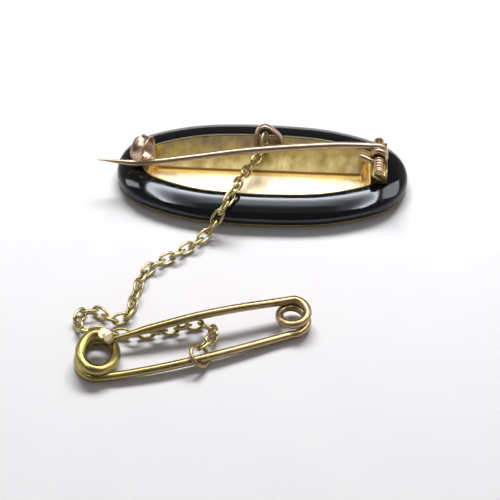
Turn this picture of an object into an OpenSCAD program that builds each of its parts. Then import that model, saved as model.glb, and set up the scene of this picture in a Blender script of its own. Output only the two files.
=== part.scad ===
// Oval bar brooch of polished black stone, lying face down: recessed gold back,
// spring pin on a barrel hinge, C-catch, safety chain and a small guard pin.
// Millimetres. X runs along the brooch with the hinge at +X, the chain's loop
// is at +Y, Z is up. The brooch's centre is the origin, its front face is z = 0.

/* [Oval outline] */
// Length of the brooch
brooch_l = 45; // [40:0.5:50]
// Width of the brooch
brooch_w = 20.8; // [19.5:0.1:22]
// Radius of the outline at its two ends
end_r = 8; // [7.5:0.1:8.5]
// Angle that each end arc turns through on either side of the long axis
end_turn = 65; // [60:1:68]
// Angle at which the flank arc meets the long side arc
flank_turn = 86; // [82:1:87]

/* [Black rim] */
// Width of the black band, from the outline to the opening
band_w = 3.8; // [3.4:0.1:4.2]
// Height of the band's upright outer side
side_h = 0.7; // [0.4:0.1:1.2]
// Height of the rounded crown above the outer side
crown_h = 1.9; // [1.6:0.1:2.2]
// Radius of the shoulder between the outer side and the crown
shoulder_r = 1.1; // [0.8:0.1:1.3]

/* [Gold front and back] */
// Thickness of the front plate
plate_t = 0.76; // [0.6:0.02:0.9]
// Thickness of the pressed gold sheet of the back
sheet_t = 0.45; // [0.35:0.05:0.5]
// Depth of the folded trough below its rim
trough_d = 2; // [1.4:0.1:2]
// Length of the trough floor, from end wall to end wall
trough_l = 31.6; // [28:0.2:32]
// Lengthwise run of each sloping end wall
end_slope = 1.1; // [0.6:0.1:1.4]
// Width of the bright lip round the back's edge
lip_w = 0.24; // [0.2:0.02:0.4]

/* [Hinge] */
// Distance of the hinge axis from the brooch's centre
hinge_x = 17.85; // [17.6:0.05:17.95]
// Height of the hinge axis above the back's rim
hinge_rise = 2.4; // [2.3:0.1:2.8]
// Length of the whole barrel
barrel_l = 7.2; // [7:0.1:7.6]
// Radius of the two fixed knuckles
barrel_r = 0.78; // [0.7:0.02:0.85]
// Radius of the axle
axle_r = 0.35; // [0.3:0.01:0.4]

/* [Brooch pin] */
// Diameter of the pin's wire
pin_d = 1.04; // [0.9:0.02:1.06]
// Length of the sharpened end
point_l = 6; // [4:0.5:7]

/* [C-catch] */
// Outer radius of the rolled strip
catch_r = 2.25; // [2.2:0.05:2.3]
// Width of the strip along the brooch
catch_w = 2.1; // [1.6:0.1:2.2]
// Thickness of the strip
catch_t = 0.28; // [0.2:0.02:0.32]

/* [Safety chain] */
// Outer length of a link
link_l = 2.9; // [2.85:0.05:2.95]
// Outer width of a link
link_w = 1.8; // [1.75:0.05:1.85]
// Diameter of a link's wire
link_d = 0.4; // [0.36:0.02:0.42]

/* [Guard pin] */
// Diameter of the guard pin's wire
guard_d = 1.05; // [0.9:0.05:1.1]
// Length of the guard pin's sharpened end
guard_point_l = 7; // [5:0.5:8]
// Mean radius of the jump ring
ring_r = 1.6; // [1.55:0.05:1.65]
// Diameter of the jump ring's wire
ring_d = 0.6; // [0.5:0.05:0.65]

/* [Hidden] */
$fn = 48;
gap = 0.04;         // clearance kept between pieces that are not soldered

half_l = brooch_l / 2;
half_w = brooch_w / 2;
rim_z0 = plate_t + gap;                    // underside of the black rim
rim_top = rim_z0 + side_h + crown_h;       // crest, at the rim's inner edge

// Outline: tangent arcs that mirror into four quadrants. The end arc's radius and
// the two turning angles are given. The flank and side radii follow from the
// condition that the last centre lies on the Y axis at the right half width.
ce = cos(end_turn);
se = sin(end_turn);
cf = cos(flank_turn);
sf = sin(flank_turn);
det = (ce - cf) * (1 - sf) - cf * (sf - se);
along = half_l - end_r + end_r * ce;
across = half_w - end_r * se;
flank_r = (along * (1 - sf) - cf * across) / det;
side_r = ((ce - cf) * across - (sf - se) * along) / det;
end_c = [half_l - end_r, 0];
flank_c = end_c - (flank_r - end_r) * [ce, se];
side_c = [0, half_w - side_r];

hinge_z = rim_top + hinge_rise;
run_clear = 0.05;                          // running clearance in the hinge

// Table of the outline's arcs, anticlockwise from the hinge end. Each row is
// [centre, radius, first angle, last angle, steps].
OUTLINE_ARCS = [
    [end_c, end_r, -end_turn, end_turn, 16],
    [flank_c, flank_r, end_turn, flank_turn, 6],
    [side_c, side_r, flank_turn, 180 - flank_turn, 5],
    [[-flank_c.x, flank_c.y], flank_r, 180 - flank_turn, 180 - end_turn, 6],
    [-end_c, end_r, 180 - end_turn, 180 + end_turn, 16],
    [-flank_c, flank_r, 180 + end_turn, 180 + flank_turn, 6],
    [-side_c, side_r, 180 + flank_turn, 360 - flank_turn, 5],
    [[flank_c.x, -flank_c.y], flank_r, 360 - flank_turn, 360 - end_turn, 6]];

// Points of the outline, each arc's centre kept and its radius drawn in by inset
function outline(inset) = [for (arc = OUTLINE_ARCS, i = [0 : arc[4] - 1])
    let (a = arc[2] + (arc[3] - arc[2]) * i / arc[4]) arc[0] + (arc[1] - inset) * [cos(a), sin(a)]];

module oval(inset) {
    polygon(outline(inset));
}

// Hidden face: a plain oval plate. Its upper edge shows as a thin gold line, its
// lower part is drawn in.
module front_plate() {
    edge = 0.12;
    foot_t = 0.4;
    color("#b9a45c") {
        linear_extrude(foot_t) oval(1);
        translate([0, 0, foot_t - 0.02]) linear_extrude(plate_t - foot_t + 0.02) oval(edge);
    }
}

// Section of the black rim as [inset, z]: upright outer side, small shoulder arc
// and a long crown arc, tangent to it, that is level at the opening
crown_r = (crown_h ^ 2 + (band_w - shoulder_r) ^ 2 - shoulder_r ^ 2) / (2 * (crown_h - shoulder_r));
crown_foot = atan2(crown_r - crown_h, band_w - shoulder_r);
RIM_SECTION = concat(
    [[0, rim_z0]],
    [for (i = [0 : 5]) let (a = crown_foot * i / 5)
        [shoulder_r * (1 - cos(a)), rim_z0 + side_h + shoulder_r * sin(a)]],
    [for (i = [1 : 7]) let (a = crown_foot + (90 - crown_foot) * i / 7)
        [band_w - crown_r * cos(a), rim_top - crown_r * (1 - sin(a))]],
    [[band_w, rim_z0]]);

module black_rim() {
    rows = [for (p = RIM_SECTION) [for (q = outline(p[0])) [q.x, q.y, p[1]]]];
    n = len(rows[0]);
    m = len(rows);
    color("#16161a") polyhedron([for (row = rows) each row],
        [for (j = [0 : m - 1], i = [0 : n - 1])
            let (a = j * n, b = (j + 1) % m * n, k = (i + 1) % n) each
                [[a + i, b + i, b + k], [a + i, b + k, a + k]]]);
}

// Space above the folded trough, dropped by drop: a shallow V with a narrow valley
// runs lengthwise between sloping end walls. It continues above the rim.
trough_x = -0.45;
over = 1;
module trough_space(drop) {
    floor_z = rim_top - trough_d - drop;
    valley = 0.45;
    side_slope = (half_w - band_w - valley) / trough_d;
    rise = rim_top + over - floor_z;
    reach = trough_l / 2 + drop;
    wide = valley + side_slope * rise;
    long = reach + end_slope / trough_d * rise;
    intersection() {
        translate([-half_l, 0, floor_z]) rotate([90, 0, 90]) linear_extrude(brooch_l)
            polygon([[-valley, 0], [valley, 0], [wide, rise], [-wide, rise]]);
        translate([trough_x, half_w, floor_z]) rotate([90, 0, 0]) linear_extrude(brooch_w)
            polygon([[-reach, 0], [reach, 0], [long, rise], [-long, rise]]);
    }
}

// Pressed sheet of the back: oval with a bright lip, sunk trough, hollow beneath
module pressed_sheet() {
    inset = band_w + gap;
    lip_h = 0.1;
    void_h = rim_top - sheet_t - rim_z0;
    difference() {
        translate([0, 0, rim_z0]) linear_extrude(rim_top + lip_h - rim_z0) oval(inset);
        translate([0, 0, rim_top]) linear_extrude(over) oval(inset + lip_w);
        intersection() {
            trough_space(0);
            translate([0, 0, rim_z0]) linear_extrude(rim_top) oval(inset + lip_w);
        }
        difference() {
            translate([0, 0, rim_z0 - 1]) linear_extrude(void_h + 1) oval(inset + sheet_t);
            trough_space(sheet_t);
        }
    }
}

// The pin's wire goes round the axle in one and a half turns: the stem leaves at
// the top of the far turn, the tail at the bottom of the near one
turn_r = axle_r + run_clear + pin_d / 2;
turn_pitch = pin_d + 0.03;
stem_y = 1.6;
turns_far = stem_y + pin_d / 2 + run_clear;
turns_near = stem_y - 1.5 * turn_pitch - pin_d / 2 - run_clear;

// Hinge bracket: a block under each fixed knuckle, a low strap between the blocks
// and an upright wall behind the near one
bracket_x0 = 16.7;
bracket_x1 = 19.15;
wall_t = 0.24;
knuckle_end = barrel_l / 2;
barrel_y = 0.15;           // the barrel's middle lies this far beyond the long axis

module fixed_knuckle(y0, y1, ribs) {
    rib_r = 0.3;
    long = y1 - y0;
    translate([hinge_x, y1, hinge_z]) rotate([90, 0, 0]) difference() {
        union() {
            cylinder(h = long, r = barrel_r - (ribs > 0 ? 0.1 : 0));
            if (ribs > 0) for (i = [0 : ribs - 1])
                translate([0, 0, (i + 0.5) * long / ribs])
                    rotate_extrude() translate([barrel_r - rib_r, 0]) circle(rib_r * 0.8);
        }
        translate([0, 0, -1]) cylinder(h = long + 2, r = axle_r + gap);
    }
}

module bracket_block(y0, y1) {
    soft = 0.35;
    top = hinge_z - 0.3;
    difference() {
        union() {
            translate([bracket_x0 + soft, y0, rim_top + gap])
                cube([bracket_x1 - bracket_x0 - soft, y1 - y0, top - rim_top - gap]);
            translate([bracket_x0, y0, rim_top + gap])
                cube([1, y1 - y0, top - soft - rim_top - gap]);
            translate([bracket_x0 + soft, y1, top - soft]) rotate([90, 0, 0])
                cylinder(h = y1 - y0, r = soft);
        }
        translate([hinge_x, y1 + 1, hinge_z]) rotate([90, 0, 0])
            cylinder(h = y1 - y0 + 2, r = barrel_r - 0.2);
    }
}

module hinge_bracket() {
    strap_top = hinge_z - turn_r - pin_d / 2 - run_clear;
    fixed_knuckle(barrel_y - knuckle_end, turns_near, 5);
    fixed_knuckle(turns_far, barrel_y + knuckle_end, 0);
    bracket_block(barrel_y - knuckle_end, turns_near);
    bracket_block(turns_far, barrel_y + knuckle_end);
    translate([bracket_x0, turns_near - 0.1, rim_top + gap])
        cube([bracket_x1 - bracket_x0, turns_far - turns_near + 0.2, strap_top - rim_top - gap]);
    translate([bracket_x1 - wall_t, barrel_y - knuckle_end, rim_top + gap])
        cube([wall_t, turns_near + knuckle_end - barrel_y, hinge_z - rim_top + 0.3 - gap]);
    translate([0, 0, rim_top - 0.2]) linear_extrude(0.6) intersection() {
        oval(band_w + gap + 0.02);
        translate([bracket_x0 + 0.1, barrel_y - knuckle_end + 0.1]) square(barrel_l - 0.2);
    }
}

// Catch: a dished strip with beaded edges, rolled over from its foot to a round
// tongue that stops above the pin. Angles are measured from +Y towards +Z.
catch_at = [-18.3, -0.2];
catch_yaw = -12;
catch_root = -78;
catch_tip = 204;
catch_z = rim_top + catch_r + 0.3;

module catch_profile() {
    bead_r = 0.19;
    mid_r = catch_r - catch_t / 2;
    translate([catch_r - catch_t, -catch_w / 2 + bead_r]) square([catch_t, catch_w - 2 * bead_r]);
    for (side = [-1, 1])
        translate([mid_r, side * (catch_w / 2 - bead_r)]) circle(bead_r, $fn = 24);
}

module c_catch() {
    tongue_r = catch_w / 2 - 0.06;
    tongue_turn = asin(tongue_r * 0.8 / catch_r);
    foot = [1.5, 1.5, 0.8];
    translate([catch_at.x, catch_at.y, catch_z]) rotate([0, 0, catch_yaw]) rotate([0, 90, 0]) {
        rotate(catch_root + 90) rotate_extrude(angle = catch_tip - catch_root - tongue_turn)
            catch_profile();
        rotate(catch_tip + 90 - tongue_turn) translate([catch_r - catch_t - 0.02, 0, 0])
            rotate([0, 90, 0]) cylinder(h = catch_t + 0.04, r = tongue_r);
    }
    translate([catch_at.x + 0.2, catch_at.y - 0.15, rim_top - 0.2])
        cube([foot.x, foot.y, foot.z]);
}

// Loop for the chain: an arch of wire leaning back over the far side of the trough,
// its two legs soldered into the sheet
loop_at = [0.95, 5.3, 4.3];
loop_r = 1.8;
loop_wire_r = 0.37;
loop_lean = 24;

module chain_loop() {
    leg = 1.85;
    translate(loop_at) rotate([90 - loop_lean, 0, 0]) {
        rotate_extrude(angle = 180) translate([loop_r, 0]) circle(loop_wire_r);
        for (side = [-1, 1]) translate([side * loop_r, 0, 0]) rotate([90, 0, 0])
            cylinder(h = leg, r = loop_wire_r);
    }
}

module gold_back() {
    color("#b29a4e") {
        pressed_sheet();
        hinge_bracket();
        c_catch();
        chain_loop();
    }
}

// Axle through the barrel with a low domed head at each end
module hinge_axle() {
    head_h = 0.22;
    head_r = 0.62;
    color("#a08d5a") translate([hinge_x, barrel_y, hinge_z]) rotate([90, 0, 0]) {
        cylinder(h = barrel_l + 2 * gap, r = axle_r, center = true);
        for (end = [-1, 1]) translate([0, 0, end * (knuckle_end + gap)])
            rotate([end > 0 ? 0 : 180, 0, 0]) intersection() {
                cylinder(h = head_h, r = head_r);
                translate([0, 0, head_h - 1]) sphere(1);
            }
    }
}

// Round wire swept along a path: each ring of points lies across the path, and
// aside is a direction that the path never takes
module swept_wire(path, radii, sides, aside) {
    n = len(path);
    rings = [for (i = [0 : n - 1])
        let (t = path[min(n - 1, i + 1)] - path[max(0, i - 1)],
             side = cross(aside, t), across = side / norm(side),
             up = cross(t, across) / norm(t))
        for (k = [0 : sides - 1])
            path[i] + radii[i] * (cos(360 * k / sides) * across + sin(360 * k / sides) * up)];
    walls = [for (i = [0 : n - 2], k = [0 : sides - 1])
        let (a = i * sides + k, b = i * sides + (k + 1) % sides) each
            [[a, a + sides, b + sides], [a, b + sides, b]]];
    polyhedron(rings, concat(walls, [[for (k = [0 : sides - 1]) k]],
                             [[for (k = [sides - 1 : -1 : 0]) (n - 1) * sides + k]]));
}

// Full radius along the wire, then an even draw down to the point at its end. Only
// the path's last run, of last places, can be drawn down.
function tapered(path, r, point_l, last) =
    [for (i = [0 : len(path) - 1]) i < len(path) - last ? r :
        r * min(1, 0.06 + norm(path[len(path) - 1] - path[i]) / point_l)];

// Height of the pin's stem: [distance from the hinge axis, z]. It rises in a low
// arch, dips to the catch, rests level in it and kinks up at the point.
STEM_PROFILE = [[0, hinge_z + turn_r], [3, 6.95], [6, 7.06], [9, 7], [12, 6.86], [15.5, 6.66],
                [19.5, 6.33], [23, 5.93], [27, 5.32], [30.5, 4.8], [33.6, 4.36], [36.4, 4.1],
                [37.9, 4.14], [39.7, 4.46], [41.5, 4.77], [43.2, 5.05]];
stem_far = 0.0822;         // sideways run of the stem for each millimetre of its length
TAIL = [[2.95, 0.75, 0.95], [2.3, 0.5, 0.72], [1.5, 0.2, 0.35], [0.8, 0.05, 0.1]];

// Tail from its end to the bottom of the near turn, the turns, and the stem
PIN_PATH = concat(
    [for (t = TAIL) [hinge_x - t[0], stem_y - 1.5 * turn_pitch + t[1], hinge_z - turn_r + t[2]]],
    [for (i = [0 : 35]) let (a = -90 + 15 * i)
        [hinge_x + turn_r * cos(a), stem_y - turn_pitch * (1.5 - i / 24), hinge_z + turn_r * sin(a)]],
    [for (p = STEM_PROFILE) [hinge_x - p[0], stem_y - stem_far * p[0], p[1]]]);

module brooch_pin() {
    color("#c9a184")
        swept_wire(PIN_PATH, tapered(PIN_PATH, pin_d / 2, point_l, len(STEM_PROFILE)), 14, [0, 1, 0.02]);
}

// Guard pin: one length of wire. A hook of over one and a half turns at the left,
// the lower arm, a spring coil of one and a half turns at the right, and the upper
// arm that returns to a point under the hook's cut end.
hook_c = [-21.35, -37.35];
coil_c = [5.9, -28.7];
guard_r = guard_d / 2;
arch_h = 0.85;

function mix(a, b, u) = a + (b - a) * u;
function ease(u) = u * u * (3 - 2 * u);

// Hook, from its cut end at u = 0 to the lower arm at u = 1
hook_from = 60;
hook_turn = 570;
function hook(u) =
    let (a = hook_from + hook_turn * u)
    [hook_c.x + mix(2.4, 2.8, ease(u)) * cos(a), hook_c.y + mix(3, 3.5, ease(u)) * sin(a),
     guard_r + mix(2.25, 0, min(1, u / 0.72) ^ 1.2)];

// Coil, from the lower arm at u = 0 to the upper arm at u = 1
coil_turn = 540;
function coil(u) =
    let (a = -90 + coil_turn * u, r = mix(2.2, 1.95, sin(180 * u)))
    [coil_c.x + r * cos(a), coil_c.y + r * sin(a), guard_r + 1.5 * (guard_d + gap) * u];

function lower_arm(u) =
    let (a = hook(1), b = coil(0)) mix(a, b, u) + [0, -1.25 * sin(180 * u ^ 0.8), arch_h * sin(180 * u ^ 0.93)];

upper_tip = [-21.6, -35.4, 1.75];
function upper_arm(u) =
    let (a = coil(1), b = upper_tip)
    [mix(a.x, b.x, u), mix(a.y, b.y, u) - 0.1 * sin(180 * u),
     mix(a.z + 0.35 * ease(min(1, 3 * u)), b.z, ease(max(0, (u - 0.7) / 0.3)))];

GUARD_PATH = concat([for (i = [0 : 44]) hook(i / 45)], [for (i = [0 : 14]) lower_arm(i / 15)],
                    [for (i = [0 : 35]) coil(i / 36)], [for (i = [0 : 20]) upper_arm(i / 20)]);

module guard_pin() {
    color("#a8935a")
        swept_wire(GUARD_PATH, tapered(GUARD_PATH, guard_r, guard_point_l, 21), 14, [0, 0, 1]);
}

// Ring slung round the lower arm: it passes over the arm on the left, under it on
// the right, and the last link of the chain hangs in its far side
ring_along = 0.53;
ring_at = lower_arm(ring_along);
ring_tilt = 41.5;
ring_heading = -8;

module jump_ring() {
    color("#b09c58") translate(ring_at) rotate([0, 0, ring_heading])
        rotate([0, ring_tilt, 0]) rotate_extrude($fn = 64)
            translate([ring_r, 0]) circle(ring_d / 2, $fn = 24);
}

// Safety chain. Each row is a place that the chain passes, as [x, y, z]. It starts
// in the jump ring, passes under the guard pin's upper arm, turns back beside the
// hook, climbs over the near rim, dips under the brooch pin and ends on the loop.
ring_eye_turn = 98;
ring_eye = ring_at + ring_r * (sin(ring_eye_turn) * [-sin(ring_heading), cos(ring_heading), 0]
    + cos(ring_eye_turn) * [cos(ring_tilt) * cos(ring_heading), cos(ring_tilt) * sin(ring_heading),
                            -sin(ring_tilt)]);
loop_eye_turn = 124;
loop_eye = loop_at + loop_r * [cos(loop_eye_turn), sin(loop_eye_turn) * sin(loop_lean),
                               sin(loop_eye_turn) * cos(loop_lean)];
last_run = [-0.4, 0.58, 0.71];
CHAIN_ROUTE = concat([ring_eye + [-0.13, -0.36, 0]],
    [[-5.5, -33.6, 1.45], [-5.1, -32.4, 1.05], [-5.5, -31.2, 0.76], [-6.6, -30.4, 0.76],
     [-8, -30.4, 0.76], [-9.6, -30.9, 0.76], [-11.5, -31.6, 0.76], [-14.2, -32.3, 0.76],
     [-17.2, -32.8, 0.76], [-19.4, -32.8, 0.76], [-21.3, -32.6, 0.76], [-23.1, -32.7, 0.76],
     [-24.6, -32.1, 0.76], [-25.2, -30.6, 0.76], [-24.6, -29.1, 0.76], [-23.1, -28.5, 0.76],
     [-21.4, -29.4, 0.76], [-20.9, -30, 0.76], [-19.7, -30.4, 0.76], [-18.2, -29.8, 0.76],
     [-17.6, -28.3, 0.76], [-17.4, -26.6, 0.76], [-17.1, -24.5, 0.76], [-16.7, -22.3, 0.76],
     [-16, -20.3, 0.76], [-14.5, -18.9, 0.76], [-12.8, -17.7, 0.76], [-11, -16.2, 0.76],
     [-9.1, -14.4, 0.76], [-7.7, -12.8, 1], [-6.9, -11.7, 1.6],
    [-6.2, -11, 2.7], [-5.6, -10.4, 3.7], [-4.8, -9.1, 4.4], [-4, -7.3, 4.6],
    [-3.4, -5.3, 4.4], [-2.6, -2.6, 3.8], [-1.7, -0.4, 3.4], [-0.9, 1.5, 3.3],
    [-0.1, 3, 3.5], [0.4, 4.3, 4.1]],
    [loop_eye + [0.06, 0, 0] - 1.1 * last_run, loop_eye + [0.06, 0, 0] + 1.4 * last_run]);
link_pitch = 1.799;
link_roll = 45;
end_twist = 10;            // extra roll of the last link, to lie square on the loop

// Point at parameter t of a smooth curve through the route's places
function place(i) = CHAIN_ROUTE[max(0, min(len(CHAIN_ROUTE) - 1, i))];
function smooth(t) =
    let (i = floor(t), u = t - i, a = place(i - 1), b = place(i), c = place(i + 1), d = place(i + 2))
    ((2 * b) + (c - a) * u + (2 * a - 5 * b + 4 * c - d) * u ^ 2
     + (3 * b - a - 3 * c + d) * u ^ 3) / 2;

// Joints between links: steps of one pitch measured straight from joint to joint
fine = 0.004;
function next_joint(t, from) =
    t >= len(CHAIN_ROUTE) - 1 || norm(smooth(t) - from) >= link_pitch ? t : next_joint(t + fine, from);
function joints(t = 0) =
    t >= len(CHAIN_ROUTE) - 1 ? [] : concat([smooth(t)], joints(next_joint(t, smooth(t))));
LINK_JOINTS = joints();

module link() {
    straight = link_l - link_w;
    bend_r = (link_w - link_d) / 2;
    for (end = [-1, 1]) translate([end * straight / 2, 0, 0]) rotate(-90 * end)
        rotate_extrude(angle = 180) translate([bend_r, 0]) circle(link_d / 2, $fn = 16);
    for (side = [-1, 1]) translate([-straight / 2, side * bend_r, 0]) rotate([0, 90, 0])
        cylinder(h = straight, r = link_d / 2, $fn = 16);
}

module safety_chain() {
    color("#b5a35a") for (i = [0 : len(LINK_JOINTS) - 2]) {
        a = LINK_JOINTS[i];
        b = LINK_JOINTS[i + 1];
        d = b - a;
        level = norm([d.x, d.y]);
        twist = max(0, end_twist - 2 * (len(LINK_JOINTS) - 2 - i));
        translate((a + b) / 2)
            rotate([0, -atan2(d.z, level), atan2(d.y, d.x)])
                rotate([(i % 2 == 0 ? -link_roll : link_roll) + twist, 0, 0]) link();
    }
}

front_plate();
black_rim();
gold_back();
hinge_axle();
brooch_pin();
safety_chain();
jump_ring();
guard_pin();
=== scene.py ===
import math

import bpy
import numpy as np
from mathutils import Matrix


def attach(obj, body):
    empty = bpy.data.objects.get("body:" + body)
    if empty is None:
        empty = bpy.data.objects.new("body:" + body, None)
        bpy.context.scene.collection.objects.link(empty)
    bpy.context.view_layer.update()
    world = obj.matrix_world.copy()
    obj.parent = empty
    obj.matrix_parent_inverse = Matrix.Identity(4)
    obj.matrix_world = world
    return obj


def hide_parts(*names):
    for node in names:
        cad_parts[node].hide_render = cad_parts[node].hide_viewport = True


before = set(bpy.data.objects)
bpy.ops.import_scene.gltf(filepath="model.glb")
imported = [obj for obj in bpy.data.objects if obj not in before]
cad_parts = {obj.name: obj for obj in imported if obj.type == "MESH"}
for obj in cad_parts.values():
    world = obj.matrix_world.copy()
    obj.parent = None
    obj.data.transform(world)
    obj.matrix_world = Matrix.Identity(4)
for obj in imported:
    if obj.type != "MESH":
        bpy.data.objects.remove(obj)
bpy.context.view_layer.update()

# White card, light and camera
# The brooch lies face down on white card in a dim room. A large softbox hangs overhead, one
# stands at each side and a low one behind gives the shadows. Sizes in this file are in mm.
MM = 0.001
MIX_A, MIX_B, MIX_OUT = 6, 7, 2
CARD_REACH = 1500
ROOM_LIGHT, ROOM_PAPER = 0.13, 0.6
LIGHT_DISTANCE = 400


def linear(hex_colour):
    """sRGB hex to linear RGBA: c / 12.92 up to 0.04045, else ((c + 0.055) / 1.055) ^ 2.4."""
    c = np.array([int(hex_colour[i:i + 2], 16) for i in (1, 3, 5)]) / 255
    return (*np.where(c <= 0.04045, c / 12.92, ((c + 0.055) / 1.055) ** 2.4), 1.0)


def set_sockets(tree, node, inputs):
    """Gives each named socket of a node its value, or links it to another node's output."""
    for socket, value in inputs.items():
        if isinstance(value, bpy.types.NodeSocket):
            tree.links.new(value, node.inputs[socket])
        else:
            node.inputs[socket].default_value = value


def add(tree, kind, inputs=None, **settings):
    """Adds a shader node of any kind, with its settings and its sockets' values or links."""
    node = tree.nodes.new("ShaderNode" + kind)
    for name, value in settings.items():
        setattr(node, name, value)
    set_sockets(tree, node, inputs or {})
    return node


def finish_named(name):
    """A new material: its node tree, its Principled shader, its object coordinates and itself."""
    material = bpy.data.materials.new(name)
    material.use_nodes = True
    tree = material.node_tree
    place = add(tree, "TexCoord").outputs["Object"]
    return tree, tree.nodes["Principled BSDF"], place, material


def clouded(tree, place, size_mm, detail, dark, light, rough=0.5):
    """Noise with marks of size_mm, and a colour that goes from dark to light with it."""
    cloud = add(tree, "TexNoise", {"Vector": place, "Scale": 1 / (size_mm * MM),
                "Detail": detail, "Roughness": rough}).outputs["Fac"]
    tone = add(tree, "Mix", {"Factor": cloud, MIX_A: linear(dark), MIX_B: linear(light)},
               data_type="RGBA")
    return cloud, tone.outputs[MIX_OUT]


def mesh_object(name, points, faces, material, sharp_deg=40):
    """Mesh object from points in mm, with its place in its mesh. Edges over sharp_deg stay sharp."""
    mesh = bpy.data.meshes.new(name)
    mesh.from_pydata((points * MM).tolist(), [], faces)
    mesh.shade_smooth()
    mesh.set_sharp_from_angle(angle=math.radians(sharp_deg))
    mesh.materials.append(material)
    obj = bpy.data.objects.new(name, mesh)
    bpy.context.scene.collection.objects.link(obj)
    return obj


# Matt uncoated card: nearly even white, with faint clouds of pulp about 11 mm across.
card_tree, card_shader, card_place, card_white = finish_named("white card")
card_tone = clouded(card_tree, card_place, 11.11, 4, "#e6e4e7", "#ebeaec")[1]
set_sockets(card_tree, card_shader, {"Base Color": card_tone, "Roughness": 0.7, "Specular IOR Level": 0.2})
card_corners = CARD_REACH * np.array([[-1, -1, 0], [1, -1, 0], [1, 1, 0], [-1, 1, 0.0]])
card = mesh_object("white_card", card_corners, [(0, 1, 2, 3)], card_white)

# Dim room with white paper standing at both sides: the glow grows sideways and downwards.
world = bpy.data.worlds.new("dim room")
bpy.context.scene.world = world
world.use_nodes = True
room = world.node_tree
room_way = add(room, "SeparateXYZ", {0: add(room, "TexCoord").outputs["Generated"]})
room_side = add(room, "Math", {0: room_way.outputs["X"]}, operation="ABSOLUTE")
room_paper = add(room, "MapRange", {"Value": room_side.outputs[0], "From Min": 0.35,
                 "From Max": 0.95, "To Min": 0.0, "To Max": ROOM_PAPER}, interpolation_type="SMOOTHSTEP")
room_low = add(room, "MapRange", {"Value": room_way.outputs["Z"], "From Min": 0.15, "From Max": 0.6,
               "To Min": 1.0, "To Max": 0.2}, interpolation_type="SMOOTHSTEP")
room_glow = add(room, "Math", {0: room_paper.outputs[0], 1: room_low.outputs[0], 2: ROOM_LIGHT},
                operation="MULTIPLY_ADD").outputs[0]
set_sockets(room, room.nodes["Background"], {"Strength": room_glow, "Color": (1, 0.98, 0.97, 1)})


def facing(out, right, place):
    """Placing matrix of a lamp or camera at place, in mm. It looks along -out, and right is its right."""
    turned = np.eye(4)
    turned[:3] = np.stack([right, np.cross(out, right), out, place * MM], -1)
    return Matrix(turned.tolist())


def softbox(name, elevation, azimuth, wide, high, radiance):
    """Rectangular light aimed at the brooch. azimuth 0 is straight behind it, wide and high are the
    angles that it spans, and its power is radiance x pi x area."""
    e, a = math.radians(elevation), math.radians(azimuth)
    lamp = bpy.data.lights.new(name, "AREA")
    lamp.shape = "RECTANGLE"
    lamp.size = 2 * LIGHT_DISTANCE * MM * math.tan(math.radians(wide / 2))
    lamp.size_y = 2 * LIGHT_DISTANCE * MM * math.tan(math.radians(high / 2))
    lamp.energy = radiance * math.pi * lamp.size * lamp.size_y
    obj = bpy.data.objects.new(name, lamp)
    bpy.context.scene.collection.objects.link(obj)
    out = np.array([math.sin(a) * math.cos(e), math.cos(a) * math.cos(e), math.sin(e)])
    obj.matrix_world = facing(out, np.array([math.cos(a), -math.sin(a), 0]), out * LIGHT_DISTANCE)
    return obj


def shade(lamp, distance, stops):
    """Gives a softbox an uneven glow. stops pair a distance on its face, as distance works it out from
    the face's own coordinates, with a share of its light. Gives back its node tree, face and glow."""
    lamp.data.use_nodes = True
    tree = lamp.data.node_tree
    face = add(tree, "NewGeometry").outputs["Parametric"]
    ramp = add(tree, "ValToRGB", {"Fac": distance(tree, face)})
    while len(ramp.color_ramp.elements) < len(stops):
        ramp.color_ramp.elements.new(0.5)
    for stop, (place, share) in zip(ramp.color_ramp.elements, stops):
        stop.position = place
        stop.color = (share, share, share, 1)
    set_sockets(tree, tree.nodes["Emission"], {"Strength": ramp.outputs["Color"]})
    return tree, face, ramp.outputs["Color"]


def from_front(tree, face):
    """Distance from the middle of the face's front edge. 1 is 0.75 widths to a side or 1.55 heights back."""
    place = add(tree, "Mapping", {"Vector": face, "Location": (-0.667, 0.02, 0),
                "Scale": (1.333, 0.647, 0)})
    return add(tree, "VectorMath", {0: place.outputs[0]}, operation="LENGTH").outputs["Value"]


def up_the_face(tree, face):
    """Share of the face's height."""
    return add(tree, "SeparateXYZ", {0: face}).outputs["Y"]


# The overhead glow is dim at the front and brightest in a curved band near its back edge. It falls
# by up to GLOW_DIP to both sides, and is at least GLOW_LEAST wherever it glows.
GLOW_DIP, GLOW_LEAST = 0.15, 0.012
overhead = softbox("overhead softbox", elevation=81, azimuth=0, wide=54, high=48, radiance=15)
glow, glow_face, glow_ramp = shade(overhead, from_front, (
    (0.2, GLOW_LEAST), (0.27, 0.03), (0.33, 0.12), (0.37, 0.19), (0.47, 0.22), (0.5, 0.27),
    (0.545, 0.45), (0.585, 0.75), (0.62, 1), (0.667, 1), (0.69, 0)))
glow_across = add(glow, "SeparateXYZ", {0: glow_face}).outputs["X"]
glow_side = add(glow, "Math", {0: glow_across, 1: 0.5}, operation="SUBTRACT")
glow_off = add(glow, "Math", {0: glow_side.outputs[0]}, operation="ABSOLUTE")
glow_dip = add(glow, "MapRange", {"Value": glow_off.outputs[0], "From Min": 0.06, "From Max": 0.24,
               "To Min": 0.0, "To Max": GLOW_DIP})
glow_left = add(glow, "Math", {0: glow_ramp, 1: glow_dip.outputs[0]}, operation="SUBTRACT")
glow_level = add(glow, "Math", {0: glow_left.outputs[0], 1: GLOW_LEAST}, operation="MAXIMUM")
glow_on = add(glow, "Math", {0: glow_ramp, 1: 0.0}, operation="GREATER_THAN")
glow_share = add(glow, "Math", {0: glow_level.outputs[0], 1: glow_on.outputs[0]}, operation="MULTIPLY")
set_sockets(glow, glow.nodes["Emission"], {"Strength": glow_share.outputs[0]})

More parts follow.
